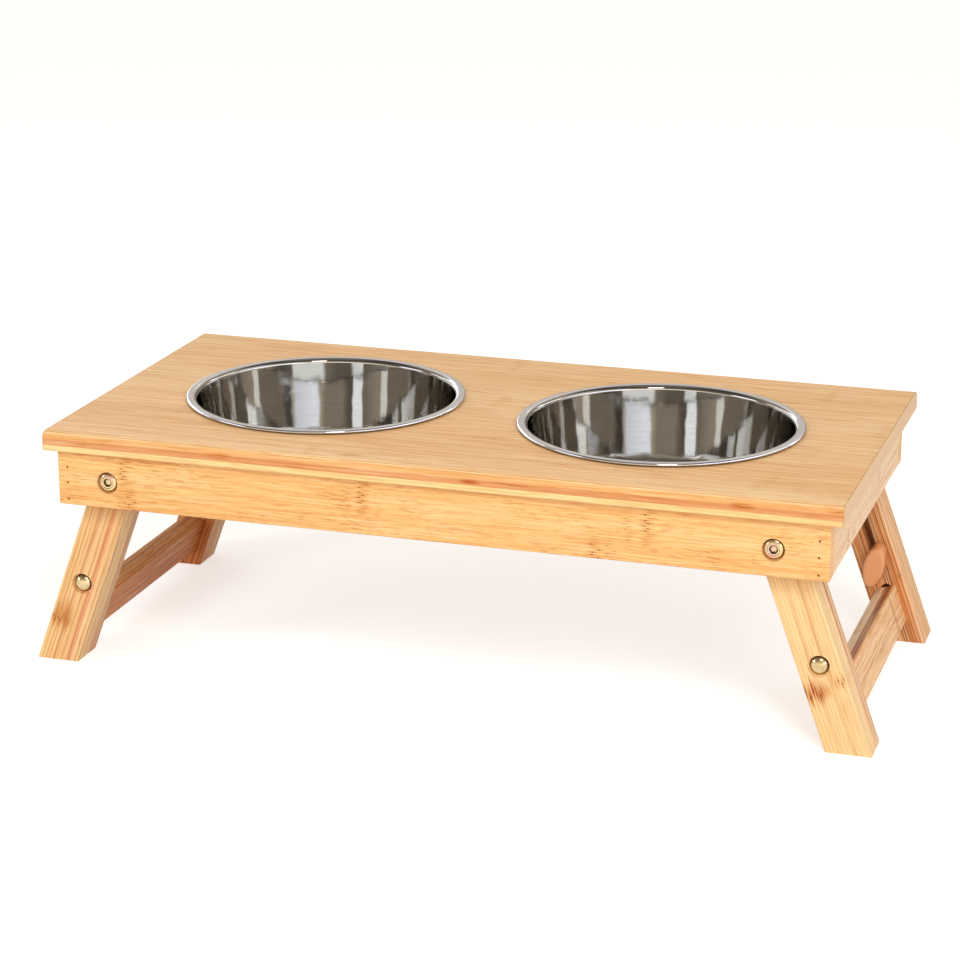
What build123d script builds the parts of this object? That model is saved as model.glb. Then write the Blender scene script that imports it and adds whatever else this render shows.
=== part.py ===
from build123d import *
from math import atan2, cos, radians, sin, tan
import os

# Raised stand for two cat bowls. A bamboo board lies on a low apron, and two pairs of splayed legs
# fold in under it. Each leg is two boards that slide on each other, held by a bolt and a thumb knob.
# Millimetres, +Z up, +X to the right, front towards -Y. The origin is on the floor, under the middle.

# Board
board_length = 400.0
board_width = 206.0
board_thickness = 10.0
board_top_height = 126.0
board_edge_round = 4.0
board_under_round = 1.0
board_end_round = 0.6
hole_edge_chamfer = 0.5

# Apron
end_overhang = 6.4
side_overhang = 3.5
rail_height = 28.0
rail_thickness = 10.0
wood_edge_round = 0.8
rail_end_round = 0.5
brad_width = 1.1
brad_length = 20.0
brad_set_depth = 1.2
brad_heights = (3.0, 11.5, 19.5)
brad_clearance = 0.02

# Bowls
bowl_spacing = 177.6
rim_diameter = 143.6
rim_height = 2.0
rim_width = 5.2
rim_seat_gap = 0.3
shoulder_round = 2.5
bowl_depth = 53.5
bowl_floor_diameter = 122.2
bowl_corner_round = 7.0
steel_thickness = 0.8
bowl_hole_clearance = 0.3

# Legs
splay = radians(20.0)
leg_width = 21.1
outer_leg_thickness = 11.8
inner_leg_thickness = 9.5
leg_side_gap = 0.3
leg_board_gap = 0.2
stop_gap = 0.3
inner_leg_top_gap = 4.0
height_travel = 35.0

# Leg pivots
pivot_drop = 14.8
pivot_head_radius = 5.0
pivot_head_thickness = 1.8
pivot_head_chamfer = 0.5
pivot_head_recess = 2.0
pivot_head_clearance = 0.5
pivot_socket_width = 3.0
pivot_socket_depth = 1.2
pivot_bolt_radius = 2.3
pivot_thread_end = 1.5
pivot_play = 0.2
sleeve_radius = 3.3
sleeve_head_radius = 5.5
sleeve_head_thickness = 1.5
running_clearance = 0.06

# Clamp bolts and knobs
clamp_along = 45.4
clamp_bolt_radius = 2.0
clamp_head_radius = 4.7
clamp_head_height = 2.4
clamp_head_recess = 1.6
clamp_head_clearance = 0.7
clamp_neck_width = 4.4
clamp_neck_length = 2.5
clamp_neck_clearance = 0.02
slot_clearance = 0.2
washer_radius = 4.5
washer_thickness = 0.8
washer_gap = 0.3
knob_seat_gap = 0.2
knob_length = 22.0
knob_width = 11.0
knob_end_round = 3.6
knob_thickness = 11.0
knob_draft = 2.0
knob_edge_round = 1.2
knob_tilt = 10.0
insert_radius = 3.0
insert_length = 8.0
insert_clearance = 0.02
bolt_reach_in_knob = 8.6
knob_bore_spare = 0.6

# Crossbars
bar_thickness = 10.7
bar_height = 20.2
bar_bottom_along = 10.7
tenon_thickness = 5.0
tenon_length = 7.5
tenon_shoulder = 2.5
mortise_over_bar = 1.5
mortise_clearance = 0.1
mortise_end_gap = 0.5
mortise_edge_chamfer = 0.3

# Heights and widths that follow from the sizes above
board_underside = board_top_height - board_thickness
rail_bottom = board_underside - rail_height
rail_outer_x = board_length / 2 - end_overhang
rail_inner_x = rail_outer_x - rail_thickness
rail_outer_y = board_width / 2 - side_overhang
rail_inner_y = rail_outer_y - rail_thickness
bowl_x = bowl_spacing / 2
rim_radius = rim_diameter / 2
rim_top = board_top_height + rim_height
rim_bead_radius = (rim_height - rim_seat_gap) / 2
bowl_mouth_radius = rim_radius - rim_width
bowl_hole_radius = bowl_mouth_radius + shoulder_round + bowl_hole_clearance

# An open leg rests against the lower inner edge of its end rail, which gives the pivot's place.
pivot_height = board_underside - pivot_drop
stop_rise = (pivot_height - rail_bottom) * sin(splay)
pivot_x = rail_inner_x - (leg_width / 2 + stop_gap + stop_rise) / cos(splay)
foot_x = pivot_x + pivot_height * tan(splay)
pivot_along = pivot_height / cos(splay)
foot_spare = leg_width * tan(splay)

# Faces across the legs, as distances from the middle plane of the stand
outer_leg_face = rail_inner_y - leg_side_gap
outer_leg_back = outer_leg_face - outer_leg_thickness
inner_leg_face = outer_leg_back - leg_board_gap
bar_face = inner_leg_face - inner_leg_thickness
washer_face = bar_face - washer_gap
knob_face = washer_face - washer_thickness - knob_seat_gap
sleeve_head_face = outer_leg_back - pivot_play
pivot_head_seat = rail_outer_y - pivot_head_recess
clamp_head_seat = outer_leg_face - clamp_head_recess
clamp_dome_radius = (clamp_head_radius ** 2 + clamp_head_height ** 2) / (2 * clamp_head_height)

inner_leg_length = pivot_along - sleeve_head_radius - inner_leg_top_gap
mortise_bottom = bar_bottom_along + tenon_shoulder
mortise_top = bar_bottom_along + bar_height + mortise_over_bar
tenon_height = bar_height - 2 * tenon_shoulder

SIDES = {"left": -1, "right": 1}
ENDS = {"front": -1, "back": 1}


def save(name, builder):
    """Label a finished piece and write it to its own file."""
    builder.part.label = name
    export_step(builder.part, f"parts/{name}.step")


def facing_plane(x, z, end, distance):
    """Upright plane at a distance from the middle, facing the front or the back."""
    return Plane(origin=(x, end * distance, z), x_dir=(-end, 0, 0), z_dir=(0, end, 0))


def leg_plane(side, end, distance):
    """The same kind of plane in a leg: local X across the leg, local Y up it from the floor."""
    up_the_leg = Vector(-side * sin(splay), 0, cos(splay))
    outwards = Vector(0, end, 0)
    return Plane(origin=(side * foot_x, end * distance, 0),
                 x_dir=up_the_leg.cross(outwards), z_dir=outwards)


def section_plane(centre, end):
    """Half-section of a bolt: local X is its radius, local Y runs out through its head."""
    return Plane(origin=centre, x_dir=(0, 0, 1), z_dir=(-end, 0, 0))


def pivot_centre(side, end, distance=0.0):
    return (side * pivot_x, end * distance, pivot_height)


def clamp_centre(side, end, distance=0.0):
    return leg_plane(side, end, distance).from_local_coords((0, clamp_along, 0))


os.makedirs("parts", exist_ok=True)

# Board: one glued bamboo panel with a round hole for each bowl
with BuildPart() as top_board:
    with BuildSketch(Plane.XY.offset(board_underside)):
        Rectangle(board_length, board_width)
    extrude(amount=board_thickness)
    fillet(top_board.edges().filter_by(Axis.X).group_by(Axis.Z)[-1], radius=board_edge_round)
    fillet(top_board.edges().filter_by(Axis.X).group_by(Axis.Z)[0], radius=board_under_round)
    fillet(top_board.faces().filter_by(Axis.X).edges(), radius=board_end_round)
    with BuildSketch(Plane.XY.offset(board_underside)):
        with Locations((-bowl_x, 0), (bowl_x, 0)):
            Circle(bowl_hole_radius)
    extrude(amount=board_thickness, mode=Mode.SUBTRACT)
    chamfer(top_board.edges(Select.LAST).filter_by(GeomType.CIRCLE), length=hole_edge_chamfer)
save("top_board", top_board)


def brad_plane(side, end):
    """Plane on a long rail's outer face, opposite the middle of an end rail's thickness."""
    return facing_plane(side * (rail_outer_x - rail_thickness / 2), rail_bottom, end, rail_outer_y)


def long_rail(end):
    """Front or back rail, with counterbored pivot holes and the nail holes of both corners."""
    with BuildPart() as rail:
        with BuildSketch(Plane.XY.offset(rail_bottom)):
            with Locations((0, end * (rail_outer_y - rail_thickness / 2))):
                Rectangle(2 * rail_outer_x, rail_thickness)
        extrude(amount=rail_height)
        fillet(rail.edges().filter_by(Axis.X).group_by(Axis.Z)[0], radius=wood_edge_round)
        outer_ends = rail.edges().filter_by(Axis.Z).sort_by(lambda edge: end * edge.center().Y)[-2:]
        fillet(outer_ends, radius=rail_end_round)
        for side in SIDES.values():
            face = facing_plane(side * pivot_x, pivot_height, end, rail_outer_y)
            with BuildSketch(face):
                Circle(pivot_head_radius + pivot_head_clearance)
            extrude(amount=-pivot_head_recess, mode=Mode.SUBTRACT)
            with BuildSketch(face):
                Circle(pivot_bolt_radius + running_clearance)
            extrude(amount=-rail_thickness, mode=Mode.SUBTRACT)
            with BuildSketch(brad_plane(side, end)):
                with Locations([(0, height) for height in brad_heights]):
                    Rectangle(brad_width + 2 * brad_clearance, brad_width + 2 * brad_clearance)
            extrude(amount=-rail_thickness, mode=Mode.SUBTRACT)
    return rail


for end_name, end in ENDS.items():
    save(f"{end_name}_rail", long_rail(end))


def end_rail(side):
    """Short rail between the long ones; its lower inner edge is the stop of an open leg."""
    with BuildPart() as rail:
        with BuildSketch(Plane.XY.offset(rail_bottom)):
            with Locations((side * (rail_outer_x - rail_thickness / 2), 0)):
                Rectangle(rail_thickness, 2 * rail_inner_y)
        extrude(amount=rail_height)
        lower_edges = rail.edges().filter_by(Axis.Y).group_by(Axis.Z)[0]
        fillet(lower_edges.sort_by(lambda edge: abs(edge.center().X))[-1], radius=wood_edge_round)
        for end in ENDS.values():
            with BuildSketch(brad_plane(side, end).offset(-rail_thickness)):
                with Locations([(0, height) for height in brad_heights]):
                    Rectangle(brad_width + 2 * brad_clearance, brad_width + 2 * brad_clearance)
            extrude(amount=rail_thickness - brad_length - brad_set_depth, mode=Mode.SUBTRACT)
    return rail


for side_name, side in SIDES.items():
    save(f"{side_name}_end_rail", end_rail(side))

# Square wire nails of the four corners, set below the face of the long rails
with BuildPart() as rail_brads:
    for side in SIDES.values():
        for end in ENDS.values():
            with BuildSketch(brad_plane(side, end).offset(-brad_set_depth)):
                with Locations([(0, height) for height in brad_heights]):
                    Rectangle(brad_width, brad_width)
            extrude(amount=-brad_length)
save("rail_brads", rail_brads)

# Pivot bolts: flat round heads with a hexagon socket, let into the long rails
with BuildPart() as pivot_bolts:
    for side in SIDES.values():
        for end in ENDS.values():
            head_top = pivot_head_seat + pivot_head_thickness
            bolt_end = outer_leg_back + pivot_thread_end
            section = section_plane(pivot_centre(side, end), end)
            with BuildSketch(section):
                with BuildLine():
                    Polyline((0, bolt_end), (pivot_bolt_radius, bolt_end),
                             (pivot_bolt_radius, pivot_head_seat), (pivot_head_radius, pivot_head_seat),
                             (pivot_head_radius, head_top - pivot_head_chamfer),
                             (pivot_head_radius - pivot_head_chamfer, head_top), (0, head_top), close=True)
                make_face()
            revolve(axis=Axis(section.origin, section.y_dir))
            with BuildSketch(facing_plane(side * pivot_x, pivot_height, end, head_top)):
                RegularPolygon(pivot_socket_width / 2, 6, major_radius=False)
            extrude(amount=-pivot_socket_depth, mode=Mode.SUBTRACT)
save("pivot_bolts", pivot_bolts)

# Sleeve nuts: the legs turn on their barrels, and their heads keep the legs on
with BuildPart() as pivot_sleeve_nuts:
    for side in SIDES.values():
        for end in ENDS.values():
            bore_radius = pivot_bolt_radius + running_clearance
            head_end = sleeve_head_face - sleeve_head_thickness
            section = section_plane(pivot_centre(side, end), end)
            with BuildSketch(section):
                with BuildLine():
                    Polyline((0, head_end), (sleeve_head_radius, head_end),
                             (sleeve_head_radius, sleeve_head_face), (sleeve_radius, sleeve_head_face),
                             (sleeve_radius, rail_inner_y), (bore_radius, rail_inner_y),
                             (bore_radius, outer_leg_back), (0, outer_leg_back), close=True)
                make_face()
            revolve(axis=Axis(section.origin, section.y_dir))
save("pivot_sleeve_nuts", pivot_sleeve_nuts)


def bowl(side):
    """Drawn steel bowl: one sheet profile with a rolled rim, turned round its own axis."""
    floor_height = rim_top - bowl_depth
    middle = Plane(origin=(side * bowl_x, 0, 0), x_dir=(1, 0, 0), z_dir=(0, -1, 0))
    with BuildPart() as dish:
        with BuildSketch(middle):
            with BuildLine():
                FilletPolyline((0, floor_height), (bowl_floor_diameter / 2, floor_height),
                               (bowl_mouth_radius, rim_top), (rim_radius - rim_bead_radius, rim_top),
                               radius=[bowl_corner_round, shoulder_round])
                offset(amount=steel_thickness, side=Side.RIGHT, closed=True)
            make_face()
            with Locations((rim_radius - rim_bead_radius, rim_top - rim_bead_radius)):
                Circle(rim_bead_radius)
        revolve(axis=Axis(middle.origin, (0, 0, 1)))
    return dish


for side_name, side in SIDES.items():
    save(f"{side_name}_bowl", bowl(side))


def outer_leg(side, end):
    """Leg board next to a long rail: round at the pivot, cut level with the floor at the foot."""
    face = leg_plane(side, end, outer_leg_face)
    with BuildPart() as leg:
        with BuildSketch(face):
            with Locations((0, -foot_spare)):
                Rectangle(leg_width, pivot_along + foot_spare, align=(Align.CENTER, Align.MIN))
            with Locations((0, pivot_along)):
                Circle(leg_width / 2)
        extrude(amount=-outer_leg_thickness)
        fillet(leg.edges().filter_by(Axis(face.origin, face.y_dir)), radius=wood_edge_round)
        with BuildSketch(face):
            with Locations((0, pivot_along)):
                Circle(sleeve_radius + running_clearance)
            with Locations((0, clamp_along)):
                Circle(clamp_bolt_radius + running_clearance)
        extrude(amount=-outer_leg_thickness, mode=Mode.SUBTRACT)
        with BuildSketch(face):
            with Locations((0, clamp_along)):
                Rectangle(clamp_neck_width + 2 * clamp_neck_clearance,
                          clamp_neck_width + 2 * clamp_neck_clearance)
        extrude(amount=-clamp_head_recess - clamp_neck_length, mode=Mode.SUBTRACT)
        with BuildSketch(face):
            with Locations((0, clamp_along)):
                Circle(clamp_head_radius + clamp_head_clearance)
        extrude(amount=-clamp_head_recess, mode=Mode.SUBTRACT)
        split(bisect_by=Plane.XY, keep=Keep.TOP)
    return leg


def inner_leg(side, end):
    """Sliding leg board: a slot for the clamp bolt and a round-ended mortise for the crossbar."""
    face = leg_plane(side, end, inner_leg_face)
    back = leg_plane(side, end, bar_face)
    with BuildPart() as leg:
        with BuildSketch(face):
            with Locations((0, -foot_spare)):
                Rectangle(leg_width, inner_leg_length + foot_spare, align=(Align.CENTER, Align.MIN))
        extrude(amount=-inner_leg_thickness)
        fillet(leg.edges().filter_by(Axis(face.origin, face.y_dir)), radius=wood_edge_round)
        with BuildSketch(face):
            with Locations((0, clamp_along + height_travel / 2)):
                SlotCenterToCenter(height_travel, 2 * (clamp_bolt_radius + slot_clearance), rotation=90)
        extrude(amount=-inner_leg_thickness, mode=Mode.SUBTRACT)
        with BuildSketch(back):
            with Locations((0, (mortise_bottom + mortise_top) / 2)):
                SlotOverall(mortise_top - mortise_bottom, tenon_thickness + 2 * mortise_clearance,
                            rotation=90)
        extrude(amount=tenon_length + mortise_end_gap, mode=Mode.SUBTRACT)
        mouth = leg.edges(Select.LAST).filter_by_position(
            Axis(back.origin, back.z_dir), -mortise_clearance, mortise_clearance)
        chamfer(mouth, length=mortise_edge_chamfer)
        split(bisect_by=Plane.XY, keep=Keep.TOP)
    return leg


def crossbar(side):
    """Bar between the two sliding boards of a side, with a round-edged tenon at each end."""
    with BuildPart() as bar:
        with BuildSketch(leg_plane(side, -1, bar_face)):
            with Locations((0, bar_bottom_along + bar_height / 2)):
                Rectangle(bar_thickness, bar_height)
        extrude(amount=-2 * bar_face)
        fillet(bar.edges().filter_by(Axis.Y), radius=wood_edge_round)
        with BuildSketch(leg_plane(side, -1, bar_face + tenon_length)):
            with Locations((0, mortise_bottom + mortise_clearance + tenon_height / 2)):
                SlotOverall(tenon_height, tenon_thickness, rotation=90)
        extrude(amount=-2 * (bar_face + tenon_length))
    return bar


def clamp_bolts(side):
    """Domed bolts of a side: a square neck bites into the outer board, the shank goes to the knob."""
    shank_end = knob_face - bolt_reach_in_knob
    with BuildPart() as bolts:
        for end in ENDS.values():
            section = section_plane(clamp_centre(side, end), end)
            head_edge = (clamp_head_radius, clamp_head_seat)
            head_top = (0, clamp_head_seat + clamp_head_height)
            with BuildSketch(section):
                with BuildLine():
                    Polyline(head_top, (0, shank_end), (clamp_bolt_radius, shank_end),
                             (clamp_bolt_radius, clamp_head_seat), head_edge)
                    RadiusArc(head_edge, head_top, -clamp_dome_radius)
                make_face()
            revolve(axis=Axis(section.origin, section.y_dir))
            with BuildSketch(leg_plane(side, end, clamp_head_seat)):
                with Locations((0, clamp_along)):
                    Rectangle(clamp_neck_width, clamp_neck_width)
            extrude(amount=-clamp_neck_length)
    return bolts


def clamp_washers(side):
    """Flat washers between the slotted boards and the knobs of a side."""
    with BuildPart() as washers:
        for end in ENDS.values():
            with BuildSketch(leg_plane(side, end, washer_face)):
                with Locations((0, clamp_along)):
                    Circle(washer_radius)
                    Circle(clamp_bolt_radius + running_clearance, mode=Mode.SUBTRACT)
            extrude(amount=-washer_thickness)
    return washers


def knob_base(side, end):
    """Plane of a knob's base on its bolt's axis, facing the middle, its long axis turned to rest."""
    turn = radians(side * knob_tilt)
    inwards = Vector(0, -end, 0)
    long_axis = Vector(sin(turn), 0, cos(turn))
    return Plane(origin=clamp_centre(side, end, knob_face), x_dir=long_axis.cross(inwards),
                 z_dir=inwards)


def knob(side, end):
    """Oval moulded thumb knob with a stepped bore for its insert and the bolt's end."""
    base = knob_base(side, end)
    reach = knob_length / 2 - knob_end_round
    flank_radius = ((knob_width ** 2 / 4 + reach ** 2 - knob_end_round ** 2)
                    / (knob_width - 2 * knob_end_round))
    lean = atan2(reach, flank_radius - knob_width / 2)
    meet_x = flank_radius * cos(lean) - flank_radius + knob_width / 2
    meet_y = flank_radius * sin(lean)
    with BuildPart() as grip:
        with BuildSketch(base):
            with BuildLine():
                ThreePointArc((meet_x, -meet_y), (knob_width / 2, 0), (meet_x, meet_y))
                ThreePointArc((meet_x, meet_y), (0, knob_length / 2), (-meet_x, meet_y))
                ThreePointArc((-meet_x, meet_y), (-knob_width / 2, 0), (-meet_x, -meet_y))
                ThreePointArc((-meet_x, -meet_y), (0, -knob_length / 2), (meet_x, -meet_y))
            make_face()
        extrude(amount=knob_thickness, taper=knob_draft)
        fillet(grip.faces().filter_by(Axis.Y).sort_by(lambda face: abs(face.center().Y))[0].edges(),
               radius=knob_edge_round)
        with BuildSketch(base):
            Circle(insert_radius + insert_clearance)
        extrude(amount=insert_length, mode=Mode.SUBTRACT)
        with BuildSketch(base):
            Circle(clamp_bolt_radius + slot_clearance)
        extrude(amount=bolt_reach_in_knob + knob_bore_spare, mode=Mode.SUBTRACT)
    return grip


def knob_insert(side, end):
    """Threaded brass sleeve moulded into a knob."""
    with BuildPart() as insert:
        with BuildSketch(knob_base(side, end)):
            Circle(insert_radius)
            Circle(clamp_bolt_radius + running_clearance, mode=Mode.SUBTRACT)
        extrude(amount=insert_length)
    return insert


for side_name, side in SIDES.items():
    save(f"{side_name}_crossbar", crossbar(side))
    save(f"{side_name}_clamp_bolts", clamp_bolts(side))
    save(f"{side_name}_clamp_washers", clamp_washers(side))
    for end_name, end in ENDS.items():
        corner = f"{side_name}_{end_name}"
        save(f"{corner}_outer_leg", outer_leg(side, end))
        save(f"{corner}_inner_leg", inner_leg(side, end))
        save(f"{corner}_knob", knob(side, end))
        save(f"{corner}_knob_insert", knob_insert(side, end))
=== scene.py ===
import random
from math import atan2, cos, hypot, pi, radians, sin, tan

import bmesh
import bpy
from mathutils import Matrix, Vector


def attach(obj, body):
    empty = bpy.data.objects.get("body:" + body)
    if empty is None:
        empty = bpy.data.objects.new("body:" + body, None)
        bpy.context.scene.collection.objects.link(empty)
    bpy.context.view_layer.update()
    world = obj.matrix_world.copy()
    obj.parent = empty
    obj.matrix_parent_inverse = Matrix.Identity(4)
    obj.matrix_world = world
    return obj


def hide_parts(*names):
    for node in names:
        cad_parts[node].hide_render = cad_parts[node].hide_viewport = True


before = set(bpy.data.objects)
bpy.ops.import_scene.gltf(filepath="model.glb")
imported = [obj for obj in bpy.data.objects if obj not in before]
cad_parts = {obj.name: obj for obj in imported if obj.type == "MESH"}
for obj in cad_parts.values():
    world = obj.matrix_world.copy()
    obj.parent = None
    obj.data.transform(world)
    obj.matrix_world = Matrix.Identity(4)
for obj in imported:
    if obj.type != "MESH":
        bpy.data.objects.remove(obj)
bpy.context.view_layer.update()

# Top board: three plies of bamboo strips pressed into one panel 10 mm thick, sanded and lacquered.
# The grain of every ply runs the long way. The middle ply is steamed darker, so the long edges
# show a reddish line between two pale ones.
MM = 0.001


def colour(code):
    """The linear colour of an sRGB hex value."""
    parts = [int(code[at:at + 2], 16) / 255 for at in (1, 3, 5)]
    return [part / 12.92 if part <= 0.04045 else ((part + 0.055) / 1.055) ** 2.4 for part in parts] + [1.0]


def add(tree, kind, *values, named=None, **settings):
    """Adds a node: its settings first, then its open inputs in order, then inputs by name.
    A node given as a value is linked from its first open output."""
    node = tree.nodes.new(kind)
    for setting, value in settings.items():
        setattr(node, setting, value)
    wanted = list(zip([socket for socket in node.inputs if socket.enabled], values))
    wanted += [(node.inputs[name], value) for name, value in (named or {}).items()]
    for socket, value in wanted:
        if isinstance(value, bpy.types.Node):
            value = next(output for output in value.outputs if output.enabled)
        if isinstance(value, bpy.types.NodeSocket):
            tree.links.new(value, socket)
        elif value is not None:
            socket.default_value = value
    return node


def steps(tree, position, start, end, stops):
    """A row of flat tones between start and end, each beginning at its own place."""
    part = add(tree, "ShaderNodeMapRange", position, start, end, 0.0, 1.0)
    ramp = add(tree, "ShaderNodeValToRGB", part)
    ramp.color_ramp.interpolation = "CONSTANT"
    elements = ramp.color_ramp.elements
    while len(elements) < len(stops):
        elements.new(1.0)
    for element, (place, tone) in zip(elements, stops):
        element.position = (place - start) / (end - start)
        element.color = tone
    return ramp


def bamboo(name, origin, grain, across, width, strips, plies=(), marks=(), faint=(), node_gap=0.0,
           fibre=(60.0, 0.9), dash=(11.0, 1.0, 0.5), dark_line=0.0, streak=0.5, pit=1.0, patches=(),
           ends=None):
    """Laminated bamboo under satin lacquer, which gives a soft sheen and lets the fibres show. Places are
    millimetres along and across the grain. Marks are nodes of the cane as (along, across, half length),
    fibre and dash the length and spacing of the lines, patches browned spots as (place, half sizes, tone)
    and ends the middle, half length and tone of the end grain."""
    material = bpy.data.materials.new(name)
    material.use_nodes = True
    tree = material.node_tree
    tree.nodes.clear()
    grain, across = Vector(grain), Vector(across)
    turn = Matrix((grain, across, grain.cross(across)))
    here = add(tree, "ShaderNodeTexCoord")
    local = add(tree, "ShaderNodeMapping", here.outputs["Object"], -(turn @ Vector(origin)),
                turn.to_euler(), (1 / MM, 1 / MM, 1 / MM))
    axes = add(tree, "ShaderNodeSeparateXYZ", local)
    along, over, depth = axes.outputs

    # Each strip has its own tone and its own length of cane, and so has each ply, 3.3 mm thick.
    tone = steps(tree, over, 0.0, width, [(start, colour(code)) for start, code in strips])
    numbered = [(start, [0.37 * number % 1] * 3 + [1.0]) for number, (start, code) in enumerate(strips)]
    strip_number = steps(tree, over, 0.0, width, numbered)
    if plies:
        ply_tone = steps(tree, depth, 0.0, plies[-1][0],
                         [(start, colour(code)) for start, code in plies[:-1]])
        under_top = add(tree, "ShaderNodeMath", depth, plies[-2][0], operation="LESS_THAN")
        tone = add(tree, "ShaderNodeMix", under_top, tone, ply_tone, data_type="RGBA")
        ply_number = add(tree, "ShaderNodeMath", depth, 3.3, operation="DIVIDE")
        ply_step = add(tree, "ShaderNodeMath", ply_number, operation="FLOOR")
        strip_number = add(tree, "ShaderNodeMath", ply_step, 0.21, strip_number, operation="MULTIPLY_ADD")
    shift = add(tree, "ShaderNodeMath", strip_number, 1931.0, operation="MULTIPLY")
    shifted = add(tree, "ShaderNodeMath", along, shift, operation="ADD")

    # Fibres wander a little, so their lines are not ruled. Each kind of line is a thin slice of a noise
    # drawn out along the grain: hair lines, short dashes where bundles surface, and long dark bundles.
    slow = add(tree, "ShaderNodeCombineXYZ", add(tree, "ShaderNodeMath", shifted, 40.0, operation="DIVIDE"),
               add(tree, "ShaderNodeMath", over, 9.0, operation="DIVIDE"))
    wander = add(tree, "ShaderNodeTexNoise", slow, named={"Scale": 1.0, "Detail": 1.0})
    bent = add(tree, "ShaderNodeMath", wander, 1.6, over, operation="MULTIPLY_ADD")
    lines = []
    for number, (length, spacing) in enumerate((fibre, dash[:2], (4.0 * fibre[0], 1.2 * fibre[1]))):
        spot = add(tree, "ShaderNodeCombineXYZ", shifted, bent, depth)
        scaled = add(tree, "ShaderNodeVectorMath", spot, (1 / length, 1 / spacing, 1 / spacing),
                     operation="MULTIPLY")
        moved = add(tree, "ShaderNodeVectorMath", scaled, (17.3 * number, 5.1 * number, 9.7), operation="ADD")
        lines.append(add(tree, "ShaderNodeTexNoise", moved,
                         named={"Scale": 1.0, "Detail": 1.0, "Roughness": 0.6}))
    fine, short, broad = lines
    fine_line = add(tree, "ShaderNodeMapRange", fine, 0.50, 0.62, 0.0, streak)
    pale_line = add(tree, "ShaderNodeMapRange", fine, 0.44, 0.34, 0.0, 0.6 * streak)
    thick = add(tree, "ShaderNodeMapRange", wander, 0.36, 0.62, 0.35 * dash[2], dash[2])
    surfacing = add(tree, "ShaderNodeMapRange", short, 0.56, 0.62, 0.0, 1.0)
    short_line = add(tree, "ShaderNodeMath", surfacing, thick, operation="MULTIPLY")
    broad_line = add(tree, "ShaderNodeMapRange", broad, 0.55, 0.61, 0.0, dark_line)
    for share, code in ((fine_line, "#e3c096"), (short_line, "#cf9763"), (broad_line, "#a96a3c")):
        tone = add(tree, "ShaderNodeMix", share, tone, colour(code), data_type="RGBA", blend_type="MULTIPLY")
    tone = add(tree, "ShaderNodeMix", pale_line, tone, colour("#ffe9bd"), data_type="RGBA")

    # Nodes of the cane: a ragged row of short dashes, one for each bundle of fibres, with a dark pit at
    # its heart. Rows lie 1.3 mm apart and each is pushed up to 4 mm along the grain by its own chance.
    row_gap, scatter = 1.3, 4.0
    row = add(tree, "ShaderNodeMath", bent, row_gap / 2, operation="PINGPONG")
    rows_over = add(tree, "ShaderNodeMath", bent, row_gap, operation="DIVIDE")
    row_number = add(tree, "ShaderNodeMath", rows_over, operation="ROUND")
    chance = add(tree, "ShaderNodeTexWhiteNoise", row_number, noise_dimensions="1D")
    push = add(tree, "ShaderNodeMath", chance, scatter, along, operation="MULTIPLY_ADD")
    centred = add(tree, "ShaderNodeMath", push, scatter / 2, operation="SUBTRACT")
    flat = add(tree, "ShaderNodeCombineXYZ", centred, over)
    reach = {}
    for group, spots in (("strong", marks), ("faint", faint)):
        reach[group] = None
        for at, middle, half in spots:
            off = add(tree, "ShaderNodeVectorMath", flat, (at, middle, 0.0), operation="SUBTRACT")
            size = add(tree, "ShaderNodeVectorMath", off, operation="ABSOLUTE")
            beyond = add(tree, "ShaderNodeVectorMath", size, (0.0, half, 0.0), operation="SUBTRACT")
            clipped = add(tree, "ShaderNodeVectorMath", beyond, (0.0, 0.0, 0.0), operation="MAXIMUM")
            far = add(tree, "ShaderNodeVectorMath", clipped, operation="LENGTH")
            if reach[group] is not None:
                far = add(tree, "ShaderNodeMath", far, reach[group], operation="MINIMUM")
            reach[group] = far
    if node_gap:
        reach["strong"] = add(tree, "ShaderNodeMath", shifted, node_gap / 2, operation="PINGPONG")
    row_line = add(tree, "ShaderNodeMapRange", row, 0.15, 0.4, 1.0, 0.0)
    present = add(tree, "ShaderNodeMath", chance.outputs["Color"], 0.45, operation="GREATER_THAN")
    height = short_line
    for group, strength in (("strong", 0.9), ("faint", 0.4)):
        if reach[group] is None:
            continue
        if node_gap:
            strength *= 0.5
        inside = add(tree, "ShaderNodeMapRange", reach[group], 1.2, 3.4, 0.75 * strength, 0.0)
        dashes = add(tree, "ShaderNodeMath", inside, row_line, operation="MULTIPLY")
        glow = add(tree, "ShaderNodeMapRange", reach[group], 0.6, 4.5, 0.3 * strength, 0.0)
        tone = add(tree, "ShaderNodeMix", glow, tone, colour("#eabd8c"), data_type="RGBA",
                   blend_type="MULTIPLY")
        tone = add(tree, "ShaderNodeMix", dashes, tone, colour("#cc8a4c"), data_type="RGBA")
        near = add(tree, "ShaderNodeMapRange", reach[group], 0.3, 0.6, pit * strength, 0.0)
        pit_line = add(tree, "ShaderNodeMapRange", row, 0.15, 0.35, 1.0, 0.0)
        pit_row = add(tree, "ShaderNodeMath", pit_line, present, operation="MULTIPLY")
        pits = add(tree, "ShaderNodeMath", near, pit_row, operation="MULTIPLY")
        tone = add(tree, "ShaderNodeMix", pits, tone, colour("#4f2a12"), data_type="RGBA")
        height = add(tree, "ShaderNodeMath", height, pits, operation="MAXIMUM")

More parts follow.
